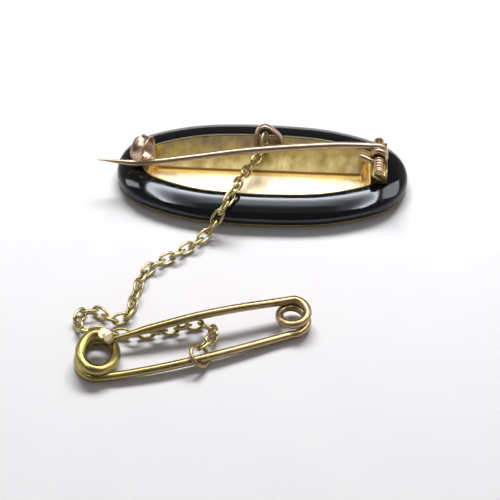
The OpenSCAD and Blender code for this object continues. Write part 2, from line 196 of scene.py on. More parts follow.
# The side boxes, like the overhead one, are only mirrored. The low one only lights. The last two
# light nothing but the trough, which is linked to them in its own section.
side_right = softbox("right softbox", elevation=46, azimuth=66, wide=26, high=26, radiance=3.5)
side_left = softbox("left softbox", elevation=44, azimuth=-74, wide=10, high=22, radiance=4.5)
for lamp in (overhead, side_right, side_left):
    lamp.visible_diffuse = False
low_back = softbox("low back softbox", elevation=46, azimuth=0, wide=46, high=14, radiance=26)
low_back.visible_glossy = False
trough_top = softbox("light over the trough", elevation=84, azimuth=0, wide=80, high=40, radiance=0.8)
trough_low = softbox("low light behind the trough", elevation=36, azimuth=0, wide=80, high=66, radiance=5)
shade(trough_low, up_the_face, ((0, 0.1), (0.35, 0.16), (0.6, 0.35), (0.8, 1)))

SENSOR_W, FOCAL_SHARE = 36, 1733.4 / 500
LOOK_DOWN, LOOK_TURN, LOOK_FROM = math.radians(47.5), math.radians(3.181), 260
LOOK_AT = np.array([-1.057, -14.861, 0])
camera_data = bpy.data.cameras.new("camera")
camera_data.sensor_width = SENSOR_W
camera_data.lens = FOCAL_SHARE * SENSOR_W
camera = bpy.data.objects.new("camera", camera_data)
bpy.context.scene.collection.objects.link(camera)
bpy.context.scene.camera = camera
look_out = np.array([math.sin(LOOK_TURN) * math.cos(LOOK_DOWN),
                     -math.cos(LOOK_TURN) * math.cos(LOOK_DOWN), math.sin(LOOK_DOWN)])
look_right = np.array([math.cos(LOOK_TURN), math.sin(LOOK_TURN), 0])
camera.matrix_world = facing(look_out, look_right, LOOK_AT + LOOK_FROM * look_out)
bpy.context.scene.view_settings.view_transform = "Standard"

# Front plate
# Hidden face of the brooch: a plain oval plate of 9 carat gold, sawn from sheet. Only
# its edge shows, as a thin line under the black band.
BROOCH_L, BROOCH_W, END_R = 45, 20.8, 8
END_TURN, FLANK_TURN = math.radians(65), math.radians(86)
HALF_L, HALF_W = BROOCH_L / 2, BROOCH_W / 2
PLATE_T, GAP = 0.76, 0.04
PLATE_SECTION = [[1.0, 0.0], [0.95, 0.02], [0.92, 0.36], [0.2, 0.38], [0.13, 0.42], [0.12, 0.5],
                 [0.12, 0.68], [0.15, 0.74], [0.22, PLATE_T]]


def oval_arcs():
    """Centres and radii of the end, flank and side arcs, which touch at END_TURN and FLANK_TURN."""
    ce, se, cf, sf = math.cos(END_TURN), math.sin(END_TURN), math.cos(FLANK_TURN), math.sin(FLANK_TURN)
    det = (ce - cf) * (1 - sf) - cf * (sf - se)
    along, across = HALF_L - END_R + END_R * ce, HALF_W - END_R * se
    flank_r = (along * (1 - sf) - cf * across) / det
    side_r = ((ce - cf) * across - (sf - se) * along) / det
    end_c = np.array([HALF_L - END_R, 0.0])
    flank_c = end_c - (flank_r - END_R) * np.array([ce, se])
    return (end_c, END_R), (flank_c, flank_r), (np.array([0, HALF_W - side_r]), side_r)


def oval(inset, steps=64):
    """Outline drawn in by each inset, as rows of [x, y]: a quadrant of three arcs, mirrored into four."""
    end, flank, side = oval_arcs()
    inset = np.atleast_1d(np.asarray(inset, float))[:, None, None]
    quarter = []
    for (c, r), a0, a1, part in ((end, 0, END_TURN, 0.5), (flank, END_TURN, FLANK_TURN, 0.3),
                                 (side, FLANK_TURN, math.pi / 2, 0.2)):
        a = np.linspace(a0, a1, int(round(steps * part)), endpoint=False)
        quarter.append(c + (r - inset) * np.stack([np.cos(a), np.sin(a)], -1))
    q = np.concatenate(quarter, 1)
    flat = inset[:, :, 0]
    top = np.stack([0 * flat, side[0][1] + side[1] - flat], -1)
    far = np.concatenate([q, top, q[:, 1:][:, ::-1] * [-1, 1]], 1)
    tip = np.stack([flat - HALF_L, 0 * flat], -1)
    return np.concatenate([far, tip, far[:, 1:] * [-1, -1]], 1)


def ring_faces(rows, columns, closed_rows=False):
    """Quads between neighbouring rows of a grid whose rows close on themselves. Where the rows don't
    close on each other, the first and the last are capped."""
    j, i = np.meshgrid(np.arange(rows if closed_rows else rows - 1), np.arange(columns), indexing="ij")
    k, l = (i + 1) % columns, (j + 1) % rows
    quads = np.stack([j * columns + i, j * columns + k, l * columns + k, l * columns + i], -1)
    quads = quads.reshape(-1, 4).tolist()
    if closed_rows:
        return quads
    return quads + [list(range(columns))[::-1], list(range((rows - 1) * columns, rows * columns))]


def around_oval(section, steps=64):
    """A section of [inset, z] carried round the outline: one row of points for each of its places."""
    section = np.asarray(section, float)
    flat = oval(section[:, 0], steps)
    z = np.broadcast_to(section[:, 1, None, None], (*flat.shape[:2], 1))
    return np.concatenate([flat, z], -1)


# Sawn sheet, dark with handling: dull brass-like gold, with patches of grime about 2.4 mm across.
old_tree, old_shader, old_place, old_gold = finish_named("9 carat gold, worn edge")
old_tone = clouded(old_tree, old_place, 2.381, 6, "#6d6138", "#b6a56c")[1]
set_sockets(old_tree, old_shader, {"Base Color": old_tone, "Metallic": 1, "Roughness": 0.42})
plate_rows = around_oval(PLATE_SECTION)
plate = mesh_object("front_plate_sheet", plate_rows.reshape(-1, 3), ring_faces(*plate_rows.shape[:2]),
                    old_gold)
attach(plate, "body")
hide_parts("front_plate")

# Black rim
# One ring of black stone, cut and polished by hand to a rounded crown. It sits on the
# front plate and is held by the lip of the back.
BAND_W, SIDE_H, CROWN_H, SHOULDER_R = 3.8, 0.7, 1.9, 1.1
UNDER_BEVEL, INNER_SOFT = 0.12, 0.06
RIM_Z0 = PLATE_T + GAP
RIM_TOP = RIM_Z0 + SIDE_H + CROWN_H
RIM_STEPS = 96


def rim_section():
    """[inset, z] round the band: bevel, outer side, shoulder arc, crown arc that ends level, inner wall."""
    crown_r = (CROWN_H ** 2 + (BAND_W - SHOULDER_R) ** 2 - SHOULDER_R ** 2) / (2 * (CROWN_H - SHOULDER_R))
    foot = math.atan2(crown_r - CROWN_H, BAND_W - SHOULDER_R)
    c = np.linspace(math.pi / 2, 0, 6)
    bevel = np.stack([UNDER_BEVEL * (1 - np.sin(c)), RIM_Z0 + UNDER_BEVEL * (1 - np.cos(c))], -1)
    side = np.stack([np.zeros(4), np.linspace(RIM_Z0 + UNDER_BEVEL * 1.5, RIM_Z0 + SIDE_H, 5)[:-1]], -1)
    a = np.linspace(0, foot, 14)
    shoulder = np.stack([SHOULDER_R * (1 - np.cos(a)), RIM_Z0 + SIDE_H + SHOULDER_R * np.sin(a)], -1)
    b = np.linspace(foot, math.pi / 2, 30)[1:]
    crown = np.stack([BAND_W - crown_r * np.cos(b), RIM_TOP - crown_r * (1 - np.sin(b))], -1)
    crown[-1] = [BAND_W - INNER_SOFT, RIM_TOP - 0.002]
    inner = [[BAND_W - 0.015, RIM_TOP - 0.02], [BAND_W, RIM_TOP - INNER_SOFT], [BAND_W, RIM_Z0 + 0.1],
             [BAND_W - 0.1, RIM_Z0]]
    return np.concatenate([bevel, side, shoulder, crown, inner])


# Black stone polished by hand: sharp, slightly cool reflections that waver over 8 mm, smudges
# of about 4 mm, and hairline scratches, drawn 0.14 mm wide because the real ones wouldn't show.
jet_tree, jet_shader, jet_place, jet = finish_named("polished black stone")
jet_smudge, jet_tone = clouded(jet_tree, jet_place, 3.846, 5, "#050506", "#0a0909", rough=0.6)
jet_rough = add(jet_tree, "MapRange", {"Value": jet_smudge, "From Min": 0.35, "From Max": 0.75,
                "To Min": 0.05, "To Max": 0.13})
jet_drawn = add(jet_tree, "Mapping", {"Vector": jet_place, "Rotation": (0, 0, 0.5), "Scale": (1, 14, 1)})
jet_scratch = add(jet_tree, "TexNoise", {"Vector": jet_drawn.outputs[0], "Scale": 1 / (2 * MM),
                  "Detail": 2.0})
jet_line = add(jet_tree, "MapRange", {"Value": jet_scratch.outputs["Fac"], "From Min": 0.66,
               "From Max": 0.72})
jet_wave = add(jet_tree, "TexNoise", {"Vector": jet_place, "Scale": 1 / (8.333 * MM), "Detail": 1.0})
jet_waver = add(jet_tree, "Bump", {"Height": jet_wave.outputs["Fac"], "Strength": 0.25,
                "Distance": 0.2 * MM})
jet_bump = add(jet_tree, "Bump", {"Height": jet_line.outputs[0], "Strength": 0.1,
               "Distance": 0.02 * MM, "Normal": jet_waver.outputs[0]})
set_sockets(jet_tree, jet_shader, {"Base Color": jet_tone, "Roughness": jet_rough.outputs[0], "IOR": 1.58,
            "Normal": jet_bump.outputs[0], "Specular Tint": linear("#ecf4ff")})
rim_rows = around_oval(rim_section(), RIM_STEPS)
rim = mesh_object("black_rim_polished", rim_rows.reshape(-1, 3),
                  ring_faces(*rim_rows.shape[:2], closed_rows=True), jet)
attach(rim, "body")
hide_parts("black_rim")

# Pressed back
# Sheet of 9 carat gold, folded into a shallow trough, with painted light and shade on its
# slopes. A thin lip is rubbed over the stone's inner edge.
TROUGH_D, TROUGH_L, TROUGH_X, END_SLOPE = 2, 31.6, -0.45, 1.1
VALLEY, LEAST_SLOPE_W = 0.45, 2.2
FOLD_BLEND, END_BLEND, LIP_BLEND = 0.05, 0.12, 0.08
LIP_W, LIP_H, LIP_DROP = 0.24, 0.2, 0.1
SHEET_INSET = BAND_W + GAP + LIP_W * 0.6


def soft_max(a, b, k):
    """The larger of two heights, blended over k where they meet."""
    return 0.5 * (a + b + np.sqrt((a - b) ** 2 + k * k))


def trough_height(x, y, reach):
    """Height of the sheet: the highest of floor, two long slopes and two end slopes, and no higher than
    the rim, plus three shallow waves from the press. The long slopes rise to the lip, which is reach
    away from the middle line."""
    slope = np.maximum(reach - VALLEY, LEAST_SLOPE_W) / TROUGH_D
    side = (np.abs(y) - VALLEY) / slope
    end = (np.abs(x - TROUGH_X) - TROUGH_L / 2) * TROUGH_D / END_SLOPE
    h = soft_max(soft_max(side, 0 * side, FOLD_BLEND), end, END_BLEND)
    h = -soft_max(-h, 0 * h - TROUGH_D, LIP_BLEND)
    waves = 0.016 * np.sin(0.55 * x + 0.9) * np.sin(0.8 * y + 0.3) + 0.010 * np.sin(1.3 * x + 1.7 * y)
    return RIM_TOP - TROUGH_D + h + waves + 0.006 * np.sin(2.9 * x - 1.1 * y + 0.6)


def trough_grid(columns=330, lines=110):
    """Grid over the opening: x from tip to tip, packed towards the tips, y from edge to edge at that x."""
    edge = oval(SHEET_INSET, 200)[0]
    far = edge[edge[:, 1] >= -1e-9]
    far = far[np.argsort(far[:, 0])]
    x = -(HALF_L - SHEET_INSET - 0.01) * np.cos(math.pi * np.linspace(0, 1, columns))
    half = np.interp(x, far[:, 0], far[:, 1])[:, None]
    y = half * np.linspace(-1, 1, lines)[None]
    x = np.broadcast_to(x[:, None], y.shape)
    return np.stack([x, y, trough_height(x, y, half)], -1)


def sheet_faces(columns, lines):
    """Quads of an open grid, then a skirt down to a copy of its edge, then one flat base."""
    i, j = np.meshgrid(np.arange(columns - 1), np.arange(lines - 1), indexing="ij")
    a = i * lines + j
    top = np.stack([a, a + lines, a + lines + 1, a + 1], -1).reshape(-1, 4).tolist()
    border = np.concatenate([np.arange(columns) * lines, (columns - 1) * lines + np.arange(1, lines),
                             (columns - 2 - np.arange(columns - 1)) * lines + lines - 1,
                             np.arange(lines - 2, 0, -1)])
    low = columns * lines + np.arange(len(border))
    skirt = np.stack([border, low, np.roll(low, -1), np.roll(border, -1)], -1).tolist()
    return top + skirt + [low[::-1].tolist()], border


# Pressed sheet, brushed across, with tarnish in blots of 1.6 mm. On the far slope, painted light and
# shade go from bright yellow at the fold to brown under the lip. The near slope is a painted sheen,
# nearly white. A brown line runs along the fold, and the ends get orange-brown streaks with painted
# shade. The brushing is 0.16 mm wide, coarser than real, so that it shows.
back_tree, back_shader, back_place, back_gold = finish_named("9 carat gold sheet, brushed and tarnished")


def back_marks(size_mm, drawn_out, detail=5.0, rough=0.6):
    """Noise with marks of size_mm, drawn out along each axis."""
    scaled = add(back_tree, "Mapping", {"Vector": back_place, "Scale": [1 / part for part in drawn_out]})
    return add(back_tree, "TexNoise", {"Vector": scaled.outputs[0], "Scale": 1 / (size_mm * MM),
               "Detail": detail, "Roughness": rough}).outputs["Fac"]


def lay_tarnish_and_painted_light(under, over, value, low, high, least=0.0, most=1.0):
    """One colour laid over another. The upper one's share goes from least to most, in a smooth step,
    while value goes from low to high. A colour is a hex value or another layer."""
    under, over = (linear(c) if isinstance(c, str) else c for c in (under, over))
    share = add(back_tree, "MapRange", {"Value": value, "From Min": low, "From Max": high,
                "To Min": least, "To Max": most}, interpolation_type="SMOOTHSTEP").outputs[0]
    return add(back_tree, "Mix", {"Factor": share, MIX_A: under, MIX_B: over},
               data_type="RGBA").outputs[MIX_OUT]


back_xyz = add(back_tree, "SeparateXYZ", {0: back_place})
back_x, back_y = back_xyz.outputs["X"], back_xyz.outputs["Y"]
back_streak = back_marks(0.16, (1, 16, 6), 3)
back_blot = back_marks(1.6, (1, 2.4, 1), 6)
# Three tones for the far slope, each with tarnish blots: painted shade under the lip, a middle tone, and
# painted light near the fold.
back_lip_blots_and_painted_shade = lay_tarnish_and_painted_light("#75654a", "#97855f", back_blot, 0.3, 0.7)
back_mid = lay_tarnish_and_painted_light("#9c854b", "#c5ae6b", back_blot, 0.3, 0.7)
back_fold_blots_and_painted_light = lay_tarnish_and_painted_light("#dbc27c", "#f7e4a8", back_blot, 0.3, 0.7)
back_cloud = back_marks(2.6, (1, 1.3, 1), 5, 0.5)
# How far up the far slope a place lies, which sets its painted light and shade: its Y, which
# wanders by WANDER and drifts by DRIFT of X.
WANDER, DRIFT = 5 * MM, -0.05
back_wander = add(back_tree, "Math", {0: back_cloud, 1: WANDER, 2: back_y}, operation="MULTIPLY_ADD")
back_up = add(back_tree, "Math", {0: back_x, 1: DRIFT, 2: back_wander.outputs[0]},
              operation="MULTIPLY_ADD").outputs[0]
back_far_slope_blots_and_painted_light = lay_tarnish_and_painted_light(back_fold_blots_and_painted_light, back_mid, back_up, 3.2 * MM, 5.6 * MM)
back_far_slope_blots_and_painted_light = lay_tarnish_and_painted_light(back_far_slope_blots_and_painted_light, back_lip_blots_and_painted_shade, back_up, 5.8 * MM, 8.4 * MM)
back_far_slope_blots_and_painted_light = lay_tarnish_and_painted_light(back_far_slope_blots_and_painted_light, "#85703f", back_streak, 0.4, 0.75, 0.0, 0.22)
# The near slope: a painted sheen, nearly white, in faint clouds.
back_near_painted_sheen = add(back_tree, "Mix", {"Factor": back_cloud, MIX_A: linear("#f4e3bd"),
                MIX_B: linear("#fdf6e2")}, data_type="RGBA").outputs[MIX_OUT]
back_colour = lay_tarnish_and_painted_light(back_near_painted_sheen, "#e0c272", back_y, -0.9 * MM, -0.3 * MM)
back_colour = lay_tarnish_and_painted_light(back_colour, back_far_slope_blots_and_painted_light, back_y, 0.3 * MM, 0.7 * MM)
back_past_fold = add(back_tree, "Math", {0: back_y, 1: VALLEY * MM}, operation="SUBTRACT")
back_from_fold = add(back_tree, "Math", {0: back_past_fold.outputs[0]}, operation="ABSOLUTE")
back_colour = lay_tarnish_and_painted_light(back_colour, "#7d4a12", back_from_fold.outputs[0], 0.1 * MM, 0.4 * MM, 0.95, 0.0)
back_past_middle = add(back_tree, "Math", {0: back_x, 1: TROUGH_X * MM}, operation="SUBTRACT")
back_from_middle = add(back_tree, "Math", {0: back_past_middle.outputs[0]}, operation="ABSOLUTE")
# The ends: orange-brown streaks with painted shade, laid over up to 0.8.
back_end_streaks_and_painted_shade = lay_tarnish_and_painted_light("#a5761f", "#ecca6c", back_marks(0.35, (1, 8, 8), 3), 0.36, 0.64)
back_colour = lay_tarnish_and_painted_light(back_colour, back_end_streaks_and_painted_shade, back_from_middle.outputs[0], 15 * MM, 16.2 * MM, 0.0, 0.8)
back_blot_step = add(back_tree, "MapRange", {"Value": back_blot, "From Min": 0.3, "From Max": 0.7},
                     interpolation_type="SMOOTHSTEP")
back_rough = add(back_tree, "MapRange", {"Value": back_blot_step.outputs[0], "From Min": 0.2,
                 "From Max": 0.8, "To Min": 0.36, "To Max": 0.5}, interpolation_type="SMOOTHSTEP")
back_bump = add(back_tree, "Bump", {"Height": back_streak, "Strength": 0.4, "Distance": 0.01 * MM})
set_sockets(back_tree, back_shader, {"Base Color": back_colour, "Roughness": back_rough.outputs[0],
            "Normal": back_bump.outputs[0], "Metallic": 1})
grid = trough_grid()
sheet_quads, border = sheet_faces(*grid.shape[:2])
sheet_top = grid.reshape(-1, 3)
sheet_base = sheet_top[border] * [1, 1, 0] + [0, 0, RIM_Z0 + 0.02]
sheet = mesh_object("back_sheet", np.concatenate([sheet_top, sheet_base]), sheet_quads, back_gold,
                    sharp_deg=60)
lip_a = np.linspace(0, 2 * math.pi, 14, endpoint=False)
lip_section = np.stack([BAND_W + GAP + LIP_W / 2 * (1 - np.cos(lip_a)),
                        RIM_TOP - LIP_DROP + LIP_H * np.sin(lip_a)], -1)
lip_rows = around_oval(lip_section, RIM_STEPS)
lip = mesh_object("back_lip", lip_rows.reshape(-1, 3), ring_faces(*lip_rows.shape[:2], closed_rows=True),
                  old_gold)
# The overhead box leaves out the sheet, and the trough's own two lights reach nothing else.
for lamp, link_state in ((overhead, "EXCLUDE"), (trough_low, "INCLUDE"), (trough_top, "INCLUDE")):
    lit = bpy.data.collections.new(lamp.name + " lights")
    lit.objects.link(sheet)
    lit.collection_objects[0].light_linking.link_state = link_state
    lamp.light_linking.receiver_collection = lit
for piece in (sheet, lip):
    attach(piece, "body")
    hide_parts("gold_back")

# Hinge bracket
# Two blocks of gold with a hollow for the barrel, a strap between them, an upright wall
# behind the near one and a plain knuckle on the far one, soldered to the back.
HINGE_X, HINGE_Z, BARREL_Y, KNUCKLE_END = 17.85, RIM_TOP + 2.4, 0.15, 3.6
BARREL_R, AXLE_R, PIN_D, RUN = 0.78, 0.35, 1.04, 0.05
TURN_R, TURN_PITCH = AXLE_R + RUN + PIN_D / 2, PIN_D + 0.03
STEM_Y = 1.6
TURNS_FAR = STEM_Y + PIN_D / 2 + RUN
TURNS_NEAR = STEM_Y - 1.5 * TURN_PITCH - PIN_D / 2 - RUN
BLOCK_X0, BLOCK_X1, BLOCK_TOP, BLOCK_FOOT, BLOCK_R = 16.7, 19.15, HINGE_Z - 0.42, RIM_TOP + GAP, 0.35
WALL_T, WALL_PEAK, EDGE_R = 0.24, HINGE_Z + 0.3, 0.1
SADDLE_R, STRAP_TOP = BARREL_R - 0.12, HINGE_Z - TURN_R - PIN_D / 2 - RUN
RIB_DEPTH, KNUCKLE_ROUND = 0.24, 0.12


def corner(cx, cz, r, a0, a1, n=6):
    """Arc of [x, z] about a centre, angles in degrees from +X towards +Z."""
    a = np.radians(np.linspace(a0, a1, n))
    return np.stack([cx + r * np.cos(a), cz + r * np.sin(a)], -1)


def bar(section, y0, y1, soft=0.05):
    """A section of [x, z] carried along Y, drawn in a little at both ends: its rows of points."""
    centre = (section.max(0) + section.min(0)) / 2
    half = (section.max(0) - section.min(0)) / 2
    step, inset = soft * np.array([0, 0.3, 1]), soft * np.array([1, 0.3, 0])
    y = np.concatenate([y0 + step, y1 - step[::-1]])[:, None]
    inset = np.concatenate([inset, inset[::-1]])[:, None, None]
    flat = centre + (section - centre) * (1 - inset / half)
    return np.stack([flat[..., 0], np.broadcast_to(y, flat.shape[:2]), flat[..., 1]], -1)


def block_section(wall):
    """Side view of a bracket block: round front edge, hollow for the barrel, and a wall or a plain edge."""
    drop = math.degrees(math.asin((HINGE_Z - BLOCK_TOP) / SADDLE_R))
    parts = [[[BLOCK_X0, BLOCK_FOOT]], corner(BLOCK_X0 + BLOCK_R, BLOCK_TOP - BLOCK_R, BLOCK_R, 180, 90),
             corner(HINGE_X, HINGE_Z, SADDLE_R, 180 + drop, 360 - drop, 12)]
    if wall:
        parts += [[[BLOCK_X1 - WALL_T, BLOCK_TOP]],
                  corner(BLOCK_X1 - WALL_T / 2, WALL_PEAK - WALL_T / 2, WALL_T / 2, 180, 0)]
    else:
        parts += [corner(BLOCK_X1 - EDGE_R, BLOCK_TOP - EDGE_R, EDGE_R, 90, 0)]
    return np.concatenate([*parts, [[BLOCK_X1, BLOCK_FOOT]]])


def knuckle(y0, y1, ribs, steps=40):
    """Turned barrel along Y, with round ends. A groove RIB_DEPTH deep lies before each of its ribs."""
    rows = 16 * max(ribs, 2)
    u = np.linspace(0, 1, rows)
    r = np.full(rows, BARREL_R)
    if ribs:
        groove = 1 - np.abs(np.sin(math.pi * (ribs * u + 0.5))) ** 0.6
        r = r - RIB_DEPTH * groove * (u > 0.5 / ribs)
    from_end = np.minimum(u, 1 - u) * (y1 - y0) / KNUCKLE_ROUND
    r = (r - KNUCKLE_ROUND * np.clip(1 - from_end, 0, 1) ** 2)[:, None]
    a = np.linspace(0, 2 * math.pi, steps, endpoint=False)
    y = np.broadcast_to((y0 + (y1 - y0) * u)[:, None], (rows, steps))
    return np.stack([HINGE_X + r * np.cos(a), y, HINGE_Z + r * np.sin(a)], -1)


def joined(name, tubes, material, sharp_deg=40):
    """One object from several closed tubes of rows, each capped at both ends and turned outwards."""
    points, faces, base = [], [], 0
    for tube in tubes:
        quads = ring_faces(*tube.shape[:2])
        first, last = tube[0], tube[-1]
        way = np.cross(first[1] - first[0], first[len(first) // 3] - first[0])
        turned_in = way @ (last.mean(0) - first.mean(0)) < 0
        faces += [[base + v for v in (quad[::-1] if turned_in else quad)] for quad in quads]
        points.append(tube.reshape(-1, 3))
        base += len(points[-1])
    return mesh_object(name, np.concatenate(points), faces, material, sharp_deg=sharp_deg)


# Filed and soldered gold: yellow where it was rubbed, brown in specks of about 1 mm, and as
# uneven in gloss as in colour.
part_tree, part_shader, part_place, part_gold = finish_named("9 carat gold, soldered parts")
part_cloud, part_tone = clouded(part_tree, part_place, 1.1111, 5, "#857246", "#c4ae78")
part_rough = add(part_tree, "MapRange", {"Value": part_cloud, "To Min": 0.16, "To Max": 0.4})
set_sockets(part_tree, part_shader, {"Base Color": part_tone, "Roughness": part_rough.outputs[0],
            "Metallic": 1})
strap = np.array([[BLOCK_X0, BLOCK_FOOT], [BLOCK_X0, STRAP_TOP - EDGE_R],
                  [BLOCK_X0 + EDGE_R, STRAP_TOP], [BLOCK_X1 - EDGE_R, STRAP_TOP],
                  [BLOCK_X1, STRAP_TOP - EDGE_R], [BLOCK_X1, BLOCK_FOOT]])
bracket = joined("hinge_bracket", [
    bar(block_section(wall=True), BARREL_Y - KNUCKLE_END + 0.1, TURNS_NEAR),
    bar(block_section(wall=False), TURNS_FAR, BARREL_Y + KNUCKLE_END),
    bar(strap, TURNS_NEAR - 0.1, TURNS_FAR + 0.1, 0.01),
    knuckle(TURNS_FAR, BARREL_Y + KNUCKLE_END, ribs=0)], part_gold)
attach(bracket, "body")
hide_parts("gold_back")

# Hinge axle
# Drawn gold wire through the barrel, its two ends spread into low heads that keep it in.
# It has the soldered parts' finish.
HEAD_R, HEAD_H, HEAD_TOP_R = 0.6, 0.2, 0.02
head_u = np.linspace(0, 1, 8)[:, None]
turn = np.linspace(0, 2 * math.pi, 28, endpoint=False)


def axle_head(y, way):
    """Low dome, a quarter of an ellipse in section, from HEAD_R at its foot to nearly nothing."""
    r = HEAD_R * np.sqrt(1 - head_u ** 2) + HEAD_TOP_R
    return np.stack([HINGE_X + r * np.cos(turn), y + way * HEAD_H * head_u + 0 * turn,
                     HINGE_Z + r * np.sin(turn)], -1)


shaft_y = np.linspace(BARREL_Y - KNUCKLE_END, BARREL_Y + KNUCKLE_END, 4)[:, None]
shaft = np.stack([HINGE_X + AXLE_R * np.cos(turn) + 0 * shaft_y, shaft_y + 0 * turn,
                  HINGE_Z + AXLE_R * np.sin(turn) + 0 * shaft_y], -1)
axle = joined("hinge_axle_wire", [shaft, axle_head(BARREL_Y - KNUCKLE_END - GAP, -1),
                                  axle_head(BARREL_Y + KNUCKLE_END + GAP, 1)], part_gold)
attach(axle, "body")
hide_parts("hinge_axle")

# Ribbed knuckle
# The near half of the hinge's barrel: rose gold tube, turned in five ribs, soldered in
# the hollow of the near block. It shows beside the pin's turns.
RIBS, GROOVE_R, CREST_R = 5, 0.60, 0.74
# Turned rose gold with painted light: a painted highlight on the crest of each rib and painted
# shade in the grooves between. The colour goes with the distance from the axle, from GROOVE_R to CREST_R.
rib_tree, rib_shader, rib_place, rib_gold = finish_named("rose gold, turned in ribs, painted light and shade")
rib_away = add(rib_tree, "VectorMath", {0: rib_place, 1: np.array([HINGE_X, 0, HINGE_Z]) * MM},
               operation="SUBTRACT")
rib_flat = add(rib_tree, "VectorMath", {0: rib_away.outputs[0], 1: (1, 0, 1)}, operation="MULTIPLY")
rib_radius = add(rib_tree, "VectorMath", {0: rib_flat.outputs[0]}, operation="LENGTH")
# Painted light: painted shade in the grooves, at GROOVE_R, to a painted highlight on the crests.
rib_painted_light_share = add(rib_tree, "MapRange", {"Value": rib_radius.outputs["Value"],
                "From Min": GROOVE_R * MM, "From Max": CREST_R * MM})
rib_painted_light_tone = add(rib_tree, "Mix", {"Factor": rib_painted_light_share.outputs[0], MIX_A: linear("#3a2a1c"),
               MIX_B: linear("#e8c8a8")}, data_type="RGBA")
set_sockets(rib_tree, rib_shader, {"Base Color": rib_painted_light_tone.outputs[MIX_OUT], "Metallic": 1,
            "Roughness": 0.35})
ribbed = joined("hinge_ribbed_knuckle", [knuckle(BARREL_Y - KNUCKLE_END, TURNS_NEAR, RIBS)], rib_gold)
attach(ribbed, "body")
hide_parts("gold_back")

# Catch
# Strip of rose gold with a bead along each edge, dished at its front and rolled over from
# a soldered foot into a C with a round tongue. The pin rests in it.
CATCH_R, CATCH_W, CATCH_YAW = 2.25, 2.3, math.radians(-20)
CATCH_AT = np.array([-18.3, -0.2, RIM_TOP + CATCH_R + 0.3])
CATCH_ROOT, CATCH_TIP = -78, 204
CATCH_T, CATCH_BEAD, CATCH_DISH, TONGUE_R = 0.07, 0.11, 0.3, 1.7


def ease(u):
    """Blend that starts and ends level: 3 u^2 - 2 u^3."""
    return u * u * (3 - 2 * u)


def catch_strip(steps=150, around=48):
    """Strip carried round the roll, whose angle runs from +Y towards +Z. Its section is a thin bar that
    thickens to a bead at each edge. From 50 to 115 degrees the strip grows wider, shifts sideways and
    dishes in. Below 15 degrees it widens to its foot. The tip closes to a half circle."""
    v = np.linspace(0, 2 * math.pi, around, endpoint=False)
    w = np.cos(v)
    thick = CATCH_T + CATCH_BEAD * ease(np.clip((np.abs(w) - 0.68) / 0.2, 0, 1))
    side = np.sign(np.sin(v)) * np.minimum(1, np.abs(np.sin(v)) * 2.0) * thick
    degrees = np.linspace(CATCH_ROOT, CATCH_TIP, steps)
    a = np.radians(degrees)
    front = ease(np.clip((degrees - 50) / 65, 0, 1))
    width = 0.62 + 0.32 * front + 0.2 * np.clip((15 - degrees) / 60, 0, 1)
    near_tip = np.clip(1 - (a[-1] - a) * CATCH_R / TONGUE_R, 0, 1)
    half = (CATCH_W / 2 * width * np.sqrt(np.clip(1 - near_tip ** 2, 0.0025, 1)))[:, None]
    front = front[:, None]
    x = half * w + 0.25 * (1 - front) - 0.12 * front
    r = CATCH_R - 0.14 + side - CATCH_DISH * front * (1 - w ** 2) * np.clip(half / (CATCH_W / 2), 0.2, 1)
    y, z = r * np.cos(a)[:, None], r * np.sin(a)[:, None]
    c, s = math.cos(CATCH_YAW), math.sin(CATCH_YAW)
    return CATCH_AT + np.stack([c * x - s * y, s * x + c * y, z], -1)


# Hard rose gold, worn bright: pinkish, clean, in clouds of 2 mm, with faint lines along X from
# drawing and wiping, 0.1 mm wide.
rose_tree, rose_shader, rose_place, rose_gold = finish_named("rose gold, worn bright")
rose_tone = clouded(rose_tree, rose_place, 2, 2, "#ab9179", "#d8bfa6")[1]
rose_drawn = add(rose_tree, "Mapping", {"Vector": rose_place, "Scale": (0.15, 3, 3)})
rose_line = add(rose_tree, "TexNoise", {"Vector": rose_drawn.outputs[0],
                "Scale": 1 / (0.3333 * MM), "Detail": 2.0})
rose_bump = add(rose_tree, "Bump", {"Height": rose_line.outputs["Fac"], "Strength": 0.2,
                "Distance": 0.01 * MM})
set_sockets(rose_tree, rose_shader, {"Base Color": rose_tone, "Normal": rose_bump.outputs[0], "Metallic": 1,
            "Roughness": 0.28})
foot_section = np.array([[-18.1, RIM_TOP - 0.1], [-18.1, RIM_TOP + 0.5], [-18.0, RIM_TOP + 0.58],
                         [-16.9, RIM_TOP + 0.58], [-16.65, RIM_TOP + 0.4], [-16.6, RIM_TOP - 0.1]])
catch = joined("c_catch", [catch_strip(), bar(foot_section, -0.35, 1.15, 0.08)], rose_gold, sharp_deg=50)
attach(catch, "body")
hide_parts("gold_back")

# Chain's loop
# Flattened rose gold wire bent to a hood, leaning back over the far slope, with both legs
# soldered in. It has the catch's finish.
LOOP_AT, LOOP_R, LOOP_LEAN = np.array([0.95, 5.3, 4.3]), 1.8, math.radians(24)
LOOP_WIRE_R, LOOP_FLAT = 0.37, (1.9, 0.95)
LOOP_UP = np.array([0, math.sin(LOOP_LEAN), math.cos(LOOP_LEAN)])
LOOP_BACK = np.array([0, math.cos(LOOP_LEAN), -math.sin(LOOP_LEAN)])
HOOD = [[-2, -1.85], [-2.05, -0.9], [-2.08, 0], [-2, 0.65], [-1.72, 1.25], [-1.25, 1.62], [-0.6, 1.7],
        [0, 1.45], [0.7, 0.9], [1.35, 0.28], [1.75, -0.45], [1.85, -1.1], [1.85, -1.85]]


def curve_between(places, steps):
    """Catmull-Rom curve from the second place to the last but one. Each pair of neighbours is joined
    by a cubic with steps points."""
    a, b, c, d = (places[i:len(places) - 3 + i, None] for i in range(4))
    u = np.linspace(0, 1, steps, endpoint=False)[None, :, None]
    curve = 2 * b + (c - a) * u + (2 * a - 5 * b + 4 * c - d) * u ** 2 + (3 * b - a - 3 * c + d) * u ** 3
    return curve.reshape(-1, places.shape[1]) / 2


